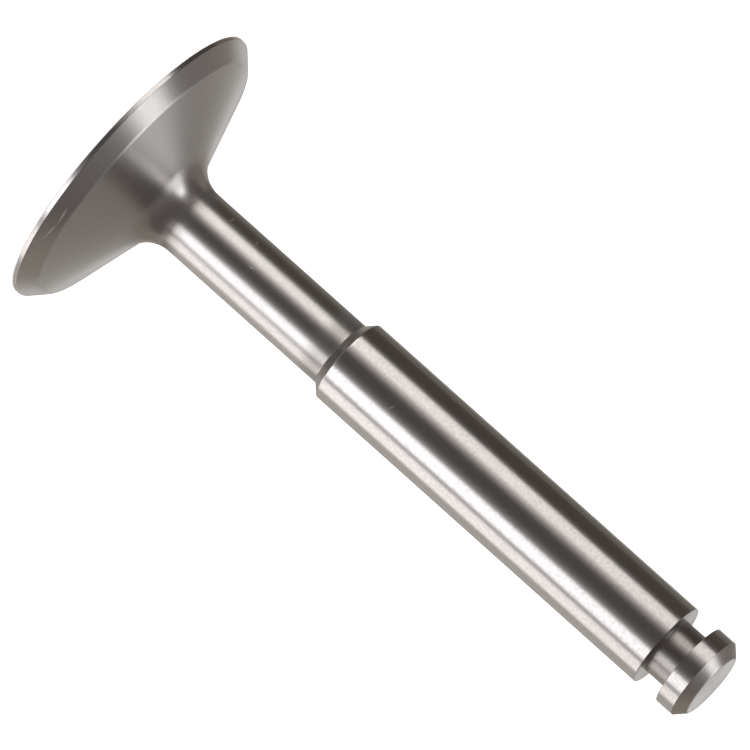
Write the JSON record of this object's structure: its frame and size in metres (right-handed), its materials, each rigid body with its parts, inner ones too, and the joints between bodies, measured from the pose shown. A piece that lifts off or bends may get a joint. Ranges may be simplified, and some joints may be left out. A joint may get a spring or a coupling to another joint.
{
  "type": "engine valve",
  "caption": "Steel poppet valve: flat head with an angled seat, relieved neck, guide stem and a square keeper groove near the tip. It opens and closes an engine port.",
  "frame": {"origin": "centre of the flat head face, on the valve's axis", "axes": "+Z along the stem from the head face to the tip; X and Y are free, because the part is turned about Z"},
  "size_m": [0.0338, 0.0338, 0.0794],
  "materials": {
    "steel": "heat-treated valve steel, ground bright on the stem and seat, fine turned on the back of the head"
  },
  "bodies": {
    "root": {"valve": "steel"}
  },
  "joints": []
}
